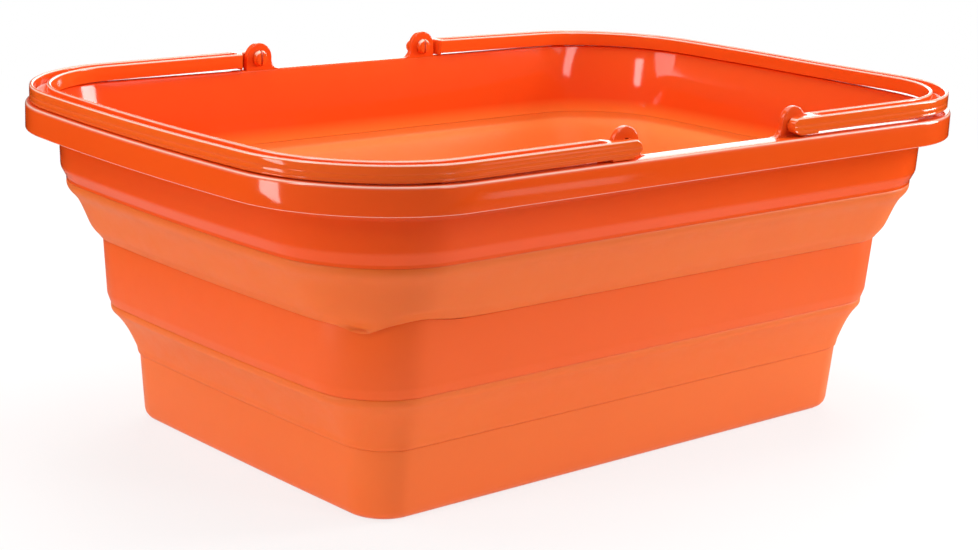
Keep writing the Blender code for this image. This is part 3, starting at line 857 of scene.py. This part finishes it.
def bail_side():
    """Places along X on the bail's side, each with its inner inset, height share, opening and pad."""
    s, at = sizes(), levels()
    radius = s.bail_height / 2
    bar_inner = s.bail_set_in + s.bail_width
    round_end = s.bail_width / 2 - s.bail_wall
    end_x = at.pivot_x - LUG_REACH + radius
    merge_x = at.pivot_x + s.ear_radius + EAR_END_CLEARANCE
    run = []
    for step in range(1, LUG_STEPS + 1):
        angle = math.radians(90) * step / LUG_STEPS
        run.append((end_x - radius * math.cos(angle), at.lug_inner, math.sin(angle), 0, 0))
    ramp_x = merge_x + CHANNEL_SETBACK
    pad_x = merge_x + PAD_REACH
    places = [end_x + step for step in PAD_START_STEPS]
    places += [pad_x + step for step in PAD_END_STEPS]
    for step in range(MERGE_STEPS + 1):
        angle = math.radians(90) * step / MERGE_STEPS
        places.append(merge_x + MERGE_LENGTH * step / MERGE_STEPS)
        places.append(ramp_x + round_end * (1 - math.cos(angle)))
    for x in sorted(places):
        inner = at.lug_inner + eased((x - merge_x) / MERGE_LENGTH) * (bar_inner - at.lug_inner)
        opening = min(max((x - ramp_x) / round_end, 0), 1)
        pad = PAD_DROP if end_x + PAD_SETBACK < x < pad_x else 0
        run.append((x, inner, 1, opening, pad))
    corner_x = s.rim_length / 2 - s.end_bow - s.corner_radius
    start_x = ramp_x + round_end
    for step in range(1, SIDE_STEPS):
        run.append((start_x + (corner_x - start_x) * step / SIDE_STEPS, bar_inner, 1, 1, 0))
    return run


def bail_loops():
    """The bar's sections from the front lug round the bowed end to the back lug."""
    s = sizes()
    half_width = s.rim_width / 2
    front = []
    for x, *shape in bail_side():
        front.append([(x, inset - half_width, height) for inset, height in bail_section(*shape)])
    section = bail_section(s.bail_set_in + s.bail_width, 1, 1)
    lines = {inset: plan(0, inset) for inset, _ in section}
    end = []
    for index in range(SIDE_STEPS, SIDE_STEPS + 2 * (CORNER_STEPS + END_STEPS) + 1):
        end.append([(*lines[inset][index], height) for inset, height in section])
    back = [[(x, -y, height) for x, y, height in loop] for loop in front[::-1]]
    return front + end + back


def make_stud():
    """The front split snap stud: shank, head with its lead-in, and the slot across it."""
    s, at = sizes(), levels()
    shank = s.hole_radius - STUD_CLEARANCE
    head = s.hole_radius + STUD_HEAD_OVERLAP
    start = -(s.rim_width / 2 - at.lug_inner + s.bail_wall)
    through = s.bail_wall + 2 * EAR_SIDE_CLEARANCE + s.ear_thickness
    profile = [(shank, 0), (shank, through), (head, through)]
    profile += [(head, through + STUD_HEAD_LAND), (head - STUD_TIP_INSET, through + STUD_HEAD_LENGTH)]
    loops = []
    for radius, distance in profile:
        ring = arc((at.pivot_x, at.pivot_z), radius, 0, 360 - 360 / STUD_SIDES, STUD_SIDES - 1)
        loops.append([(x, start + distance, z) for x, z in ring])
    stud = loft("stud", loops, False, [0, 0, STUD_HEAD_EASE, STUD_HEAD_EASE, STUD_TIP_EASE])
    bpy.ops.object.select_all(action="DESELECT")
    tip = start + through + STUD_HEAD_LENGTH
    bpy.ops.mesh.primitive_cube_add(size=1, location=(at.pivot_x, tip, at.pivot_z))
    slot = bpy.context.object
    deep = 2 * (STUD_HEAD_LENGTH + STUD_SLOT_RUN)
    slot.data.transform(Matrix.Diagonal((STUD_SLOT, deep, 3 * head, 1)))
    cut(stud, slot)
    return stud


def make_nub():
    """The front rest nub under the bail's floor, just round the corner."""
    s, at = sizes(), levels()
    turn = math.radians(NUB_ANGLE)
    radius = s.corner_radius - s.bail_set_in - s.bail_width / 2
    x = s.rim_length / 2 - s.end_bow - s.corner_radius + radius * math.sin(turn)
    y = s.corner_radius - s.rim_width / 2 - radius * math.cos(turn)
    foot = at.rim_top + NUB_GAP
    height = at.bail_low + s.bail_floor / 2 - foot
    bpy.ops.object.select_all(action="DESELECT")
    bpy.ops.mesh.primitive_cube_add(size=1, location=(x, y, foot + height / 2), rotation=(0, 0, turn))
    nub = bpy.context.object
    nub.data.transform(Matrix.Diagonal((*NUB_PLAN, height, 1)))
    bpy.ops.object.transform_apply(location=True, rotation=True, scale=True)
    bpy.ops.object.mode_set(mode="EDIT")
    bpy.ops.mesh.select_all(action="SELECT")
    bpy.ops.mesh.bevel(offset=NUB_EASE, segments=EDGE_STEPS, affect="EDGES")
    bpy.ops.object.mode_set(mode="OBJECT")
    return nub


def lay(bail, side, front, back):
    """Lays down the bail on the +X (1) or -X (-1) side, with its own lift and turn of each arm."""
    s, at = sizes(), levels()
    for vertex in bail.data.vertices:
        share = eased(1 + 2 * vertex.co.y / s.rim_width)
        lift = front[0] + (back[0] - front[0]) * share
        angle = math.radians(front[1] + (back[1] - front[1]) * share)
        reach = side * vertex.co.x - at.pivot_x
        rise = vertex.co.z - at.pivot_z
        vertex.co.x = side * (at.pivot_x + reach * math.cos(angle) - rise * math.sin(angle))
        vertex.co.z = at.pivot_z + lift + rise * math.cos(angle) + reach * math.sin(angle)


def make_bail(name):
    """The right bail: channel bar, studs and nubs."""
    bail = loft(name, bail_loops(), False)
    stud, nub = make_stud(), make_nub()
    bail = joined([bail, stud, mirrored(stud, False, True), nub, mirrored(nub, False, True)])
    # Painted highlights on the crowns of the bail's beads
    paint_edge_highlights(bail, levels().bail_high - sizes().bail_wall / 2, True)
    return smooth(bail)


# Materials


def add_node(tree, kind, inputs=None, **settings):
    """Adds a node with its settings, and its inputs set to values or linked to sockets."""
    node = tree.nodes.new(kind)
    for key, value in settings.items():
        setattr(node, key, value)
    for key, value in (inputs or {}).items():
        if isinstance(value, bpy.types.NodeSocket):
            tree.links.new(value, node.inputs[key])
        else:
            node.inputs[key].default_value = value
    return node


def new_material(name):
    """A new material with its node tree and shader."""
    material = bpy.data.materials.new(name)
    material.use_nodes = True
    return material, material.node_tree, material.node_tree.nodes["Principled BSDF"]


def plastic(name, base, low, high, flow_mm, grain_mm, grain_depth_mm, wave_depth_mm, **shader_values):
    """A moulded plastic: cloudy colour where the melt flowed, uneven gloss, slow waves and fine grain.

    The real grain is about 0.2 mm wide. It is drawn coarser here, so that it shows.
    """
    material, tree, shader = new_material(name)
    place = add_node(tree, "ShaderNodeTexCoord").outputs["Object"]
    flow = add_node(
        tree, "ShaderNodeTexNoise",
        {"Vector": place, "Scale": 1000 / flow_mm, "Detail": 3.0, "Roughness": 0.5, "Distortion": 0.6},
    ).outputs["Fac"]
    deep = tuple(value * share for value, share in zip(base, CLOUD_DEEP))
    pale = tuple(min(value * share, 1) for value, share in zip(base, CLOUD_PALE))
    tint = add_node(
        tree, "ShaderNodeMix", {"Factor": flow, "A": (*deep, 1), "B": (*pale, 1)}, data_type="RGBA"
    ).outputs["Result"]
    # Paints light into the base colour: a glow where light comes through thin plastic, and highlights on rounded
    # edges
    for mark, paler in (("painted_through_glow", colours().through), ("painted_edge_highlight", colours().edge)):
        share = add_node(tree, "ShaderNodeAttribute", attribute_name=mark).outputs["Fac"]
        tint = add_node(
            tree, "ShaderNodeMix", {"Factor": share, "A": tint, "B": (*paler, 1)}, data_type="RGBA"
        ).outputs["Result"]
    tree.links.new(tint, shader.inputs["Base Color"])
    scuffs = add_node(
        tree, "ShaderNodeTexNoise",
        {"Vector": place, "Scale": 1000 / SCUFF_MM, "Detail": 6.0, "Roughness": 0.7},
    ).outputs["Fac"]
    gloss = add_node(
        tree, "ShaderNodeMapRange",
        {"Value": scuffs, "From Min": 0.3, "From Max": 0.7, "To Min": low, "To Max": high},
    ).outputs["Result"]
    tree.links.new(gloss, shader.inputs["Roughness"])
    waves = add_node(
        tree, "ShaderNodeTexNoise", {"Vector": place, "Scale": 1000 / WAVE_MM, "Detail": 1.0}
    ).outputs["Fac"]
    slow = add_node(
        tree, "ShaderNodeBump", {"Height": waves, "Strength": 1.0, "Distance": wave_depth_mm / 1000}
    ).outputs["Normal"]
    grain = add_node(
        tree, "ShaderNodeTexNoise", {"Vector": place, "Scale": 1000 / grain_mm, "Detail": 2.0}
    ).outputs["Fac"]
    fine = add_node(
        tree, "ShaderNodeBump",
        {"Height": grain, "Strength": 1.0, "Distance": grain_depth_mm / 1000, "Normal": slow},
    ).outputs["Normal"]
    tree.links.new(fine, shader.inputs["Normal"])
    for key, value in shader_values.items():
        shader.inputs[key.replace("_", " ")].default_value = value
    return material


def gloss_polypropylene(name, base):
    """Polypropylene from a polished mould: a clear gloss with faint sink waves, and lit a little way in."""
    return plastic(
        name, base, low=0.07, high=0.12, flow_mm=70, grain_mm=1.6, grain_depth_mm=0.001, wave_depth_mm=0.03,
        IOR=1.49, Specular_IOR_Level=0.42, Subsurface_Weight=0.10, Subsurface_Scale=0.003,
        Subsurface_Radius=(1.0, 0.3, 0.1),
    )


def satin_polypropylene(name, base):
    """Polypropylene from a blasted mould: soft wide highlights and an even fine grain."""
    return plastic(
        name, base, low=0.34, high=0.44, flow_mm=80, grain_mm=0.8, grain_depth_mm=0.004, wave_depth_mm=0.08,
        IOR=1.49, Specular_IOR_Level=0.30, Subsurface_Weight=0.08, Subsurface_Scale=0.003,
    )


def soft_rubber(name, base):
    """Thermoplastic rubber moulded onto the rigid bands: dull, pale with bloom and a little see-through."""
    return plastic(
        name, base, low=0.42, high=0.54, flow_mm=60, grain_mm=0.7, grain_depth_mm=0.006, wave_depth_mm=0.12,
        IOR=1.50, Specular_IOR_Level=0.30, Subsurface_Weight=0.30, Subsurface_Scale=0.0012,
        Subsurface_Radius=(1.0, 0.6, 0.3),
    )


# Stage


def grey(value):
    """A grey as a shader's colour."""
    return (value, value, value, 1)


def paper_sweep():
    """Paper that lights the basin from below, and that the camera sees as white with a soft shadow."""
    material, tree, shader = new_material("Paper sweep")
    shader.inputs["Roughness"].default_value = 0.9
    shader.inputs["Specular IOR Level"].default_value = 0.1
    spot = add_node(tree, "ShaderNodeTexCoord").outputs["Object"]
    reach = add_node(tree, "ShaderNodeVectorMath", {"Vector": spot}, operation="LENGTH").outputs["Value"]
    shares = []
    for start, end in ((SWEEP_BRIGHT, SWEEP_DIM), (SHADOW_REACH, WHITE_REACH)):
        inputs = {"Value": reach, "From Min": start, "From Max": end, "To Min": 0.0, "To Max": 1.0}
        share = add_node(tree, "ShaderNodeMapRange", inputs, interpolation_type="SMOOTHSTEP")
        shares.append(share.outputs["Result"])
    fade, far = shares
    inputs = {"Factor": fade, "A": (*colours().stage, 1), "B": grey(SWEEP_FAR_GREY)}
    paper = add_node(tree, "ShaderNodeMix", inputs, data_type="RGBA").outputs["Result"]
    tree.links.new(paper, shader.inputs["Base Color"])
    inputs = {0: fade, 1: -TABLE_GLOW, 2: TABLE_GLOW}
    glow = add_node(tree, "ShaderNodeMath", inputs, operation="MULTIPLY_ADD")
    shader.inputs["Emission Color"].default_value = grey(1)
    tree.links.new(glow.outputs[0], shader.inputs["Emission Strength"])
    path = add_node(tree, "ShaderNodeLightPath")
    shaded = add_node(tree, "ShaderNodeBsdfDiffuse", {"Color": grey(NEAR_GREY)}).outputs[0]
    glowing = add_node(tree, "ShaderNodeEmission", {"Color": grey(1), "Strength": NEAR_GLOW}).outputs[0]
    near = add_node(tree, "ShaderNodeAddShader", {0: glowing, 1: shaded}).outputs[0]
    white = add_node(tree, "ShaderNodeEmission", {"Color": grey(1), "Strength": 1.0}).outputs[0]
    lit = add_node(tree, "ShaderNodeMixShader", {0: far, 1: near, 2: white}).outputs[0]
    close = add_node(tree, "ShaderNodeMath", {0: 1.0, 1: fade}, operation="SUBTRACT").outputs[0]
    mirror = add_node(tree, "ShaderNodeMath", {0: close, 1: close}, operation="MULTIPLY").outputs[0]
    inputs = {"Color": grey(MIRROR_GREY), "Strength": mirror}
    image = add_node(tree, "ShaderNodeEmission", inputs).outputs[0]
    mixed = shader.outputs[0]
    for ray, look in (("Is Glossy Ray", image), ("Is Camera Ray", lit)):
        inputs = {0: path.outputs[ray], 1: mixed, 2: look}
        mixed = add_node(tree, "ShaderNodeMixShader", inputs).outputs[0]
    tree.links.new(mixed, tree.nodes["Material Output"].inputs["Surface"])
    return material


def make_floor():
    """A paper sweep under the basin, which ends just in front of it."""
    bpy.ops.object.select_all(action="DESELECT")
    turn = math.radians(SWEEP_TURN)
    away = SWEEP_SIZE / 2 - SWEEP_FRONT
    place = (-away * math.sin(turn), away * math.cos(turn), 0)
    bpy.ops.mesh.primitive_plane_add(size=SWEEP_SIZE, location=place, rotation=(0, 0, turn))
    bpy.ops.object.transform_apply(location=True, rotation=True, scale=True)
    floor = bpy.context.object
    floor.name = "floor"
    floor.data.materials.append(paper_sweep())


def make_world():
    """A white background for the camera, and a plain grey light for the rest."""
    world = bpy.data.worlds.new("Studio")
    bpy.context.scene.world = world
    world.use_nodes = True
    tree = world.node_tree
    tree.nodes.clear()
    seen = add_node(tree, "ShaderNodeLightPath").outputs["Is Camera Ray"]
    fill = add_node(tree, "ShaderNodeBackground", {"Color": grey(1), "Strength": WORLD_FILL}).outputs[0]
    white = add_node(tree, "ShaderNodeBackground", {"Color": grey(1), "Strength": 1.0}).outputs[0]
    both = add_node(tree, "ShaderNodeMixShader", {0: seen, 1: fill, 2: white}).outputs[0]
    add_node(tree, "ShaderNodeOutputWorld", {"Surface": both})


def make_lamp(name, place, width, height, power):
    """One rectangular softbox that faces the basin."""
    bpy.ops.object.light_add(type="AREA", location=place)
    lamp = bpy.context.object
    lamp.name = name
    lamp.rotation_mode = "QUATERNION"
    lamp.rotation_quaternion = (Vector(LAMP_AIM) - Vector(place)).to_track_quat("-Z", "Y")
    lamp.data.shape = "RECTANGLE"
    lamp.data.size = width
    lamp.data.size_y = height
    lamp.data.energy = power
    lamp.visible_camera = False


def make_camera():
    """The camera at the photograph's place, angle and lens."""
    bpy.ops.object.camera_add()
    camera = bpy.context.object
    turn = Matrix((CAMERA_RIGHT, CAMERA_UP, CAMERA_BACK)).transposed()
    camera.matrix_world = Matrix.Translation(CAMERA_PLACE) @ turn.to_4x4()
    camera.data.lens = CAMERA_LENS
    camera.data.sensor_width = 36
    camera.data.clip_start = 0.01
    bpy.context.scene.camera = camera
    bpy.context.scene.view_settings.view_transform = "Standard"


# Operators


class BASIN_OT_rim(bpy.types.Operator):
    """Makes the rim frame with its skirt, flange, throat and four ears."""

    bl_idname = "basin.rim"
    bl_label = "Rim frame"

    def execute(self, context):
        material = gloss_polypropylene("Rim polypropylene", colours().rim)
        dress(make_rim(), material, "rim", "rim_polypropylene", "rim_frame")
        return {"FINISHED"}


class BASIN_OT_folds(bpy.types.Operator):
    """Makes the two soft folds, the upper one with the pucker in its lip."""

    bl_idname = "basin.folds"
    bl_label = "Soft folds"

    def execute(self, context):
        at = levels()
        rubber = soft_rubber("Fold rubber", colours().fold)
        top, bottom = (at.upper_seam_draw, at.upper_high), (at.ring_top_draw, at.upper_low)
        upper = make_fold("upper_fold_web", top, bottom, UPPER_FOLD_SHARES)
        top, bottom = (at.lower_seam_draw, at.lower_high), (at.base_top_draw, at.lower_low)
        lower = make_fold("lower_fold_web", top, bottom, LOWER_FOLD_SHARES)
        pucker(upper)
        for web in (upper, lower):
            apply_modifier(web, "SUBSURF", levels=SUBDIVISIONS, render_levels=SUBDIVISIONS)
            smooth(web, FOLD_SMOOTH_ANGLE)
        dress(upper, rubber, None, "fold_rubber", "upper_fold")
        dress(lower, rubber, None, "fold_rubber", "lower_fold")
        hold = TONGUE_HEIGHT + SEAM_GAP
        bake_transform(lower, "base", "ring", start=(0, 0, at.lower_low + hold), end=(0, 0, at.lower_high - hold))
        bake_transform(upper, "ring", "rim", start=(0, 0, at.upper_low + hold), end=(0, 0, at.upper_high - hold))
        return {"FINISHED"}


class BASIN_OT_ring(bpy.types.Operator):
    """Makes the rigid middle ring."""

    bl_idname = "basin.ring"
    bl_label = "Middle ring"

    def execute(self, context):
        material = satin_polypropylene("Ring polypropylene", colours().ring)
        dress(make_ring(), material, "ring", "ring_polypropylene", "middle_ring")
        return {"FINISHED"}


class BASIN_OT_base(bpy.types.Operator):
    """Makes the base pan with its floor and foot."""

    bl_idname = "basin.base"
    bl_label = "Base pan"

    def execute(self, context):
        material = satin_polypropylene("Base polypropylene", colours().base)
        dress(make_base(), material, "base", "base_polypropylene", "base_pan")
        return {"FINISHED"}


class BASIN_OT_bails(bpy.types.Operator):
    """Makes the right bail handle and copies it, turned half round, for the left end."""

    bl_idname = "basin.bails"
    bl_label = "Bail handles"

    def execute(self, context):
        material = gloss_polypropylene("Bail polypropylene", colours().bail)
        right = make_bail("right_bail_moulding")
        left = mirrored(right, True, True)
        left.name = left.data.name = "left_bail_moulding"
        lay(right, 1, *RIGHT_ARMS)
        lay(left, -1, *LEFT_ARMS)
        dress(right, material, "right_bail", "handle_polypropylene", "right_handle")
        dress(left, material, "left_bail", "handle_polypropylene", "left_handle")
        return {"FINISHED"}


class BASIN_OT_stage(bpy.types.Operator):
    """Makes the floor, the lamps, the world and the camera."""

    bl_idname = "basin.stage"
    bl_label = "Stage"

    def execute(self, context):
        make_floor()
        make_world()
        for lamp in LAMPS:
            make_lamp(*lamp)
        make_camera()
        return {"FINISHED"}


# Panel and registration


class BASIN_PT_panel(bpy.types.Panel):
    """Lists the basin's pieces, sizes and colours in the sidebar."""

    bl_idname = "BASIN_PT_panel"
    bl_label = "Washbasin"
    bl_space_type = "VIEW_3D"
    bl_region_type = "UI"
    bl_category = "Washbasin"

    def draw(self, context):
        layout = self.layout
        for operator in OPERATORS:
            layout.operator(operator.bl_idname)
        for group in (context.scene.basin_sizes, context.scene.basin_colours):
            box = layout.box()
            for key in group.__annotations__:
                box.prop(group, key)


OPERATORS = (BASIN_OT_rim, BASIN_OT_folds, BASIN_OT_ring, BASIN_OT_base, BASIN_OT_bails, BASIN_OT_stage)
CLASSES = (BasinSizes, BasinColours, *OPERATORS, BASIN_PT_panel)


def register():
    """Registers the classes and hangs the sizes and colours on the scene."""
    for kind in CLASSES:
        bpy.utils.register_class(kind)
    bpy.types.Scene.basin_sizes = PointerProperty(type=BasinSizes)
    bpy.types.Scene.basin_colours = PointerProperty(type=BasinColours)


def unregister():
    """Takes the sizes, colours and classes away again."""
    del bpy.types.Scene.basin_sizes
    del bpy.types.Scene.basin_colours
    for kind in reversed(CLASSES):
        bpy.utils.unregister_class(kind)


def main():
    """Makes every piece and the stage."""
    register()
    bpy.ops.basin.rim()
    bpy.ops.basin.folds()
    bpy.ops.basin.ring()
    bpy.ops.basin.base()
    bpy.ops.basin.bails()
    bpy.ops.basin.stage()


if __name__ == "__main__":
    main()
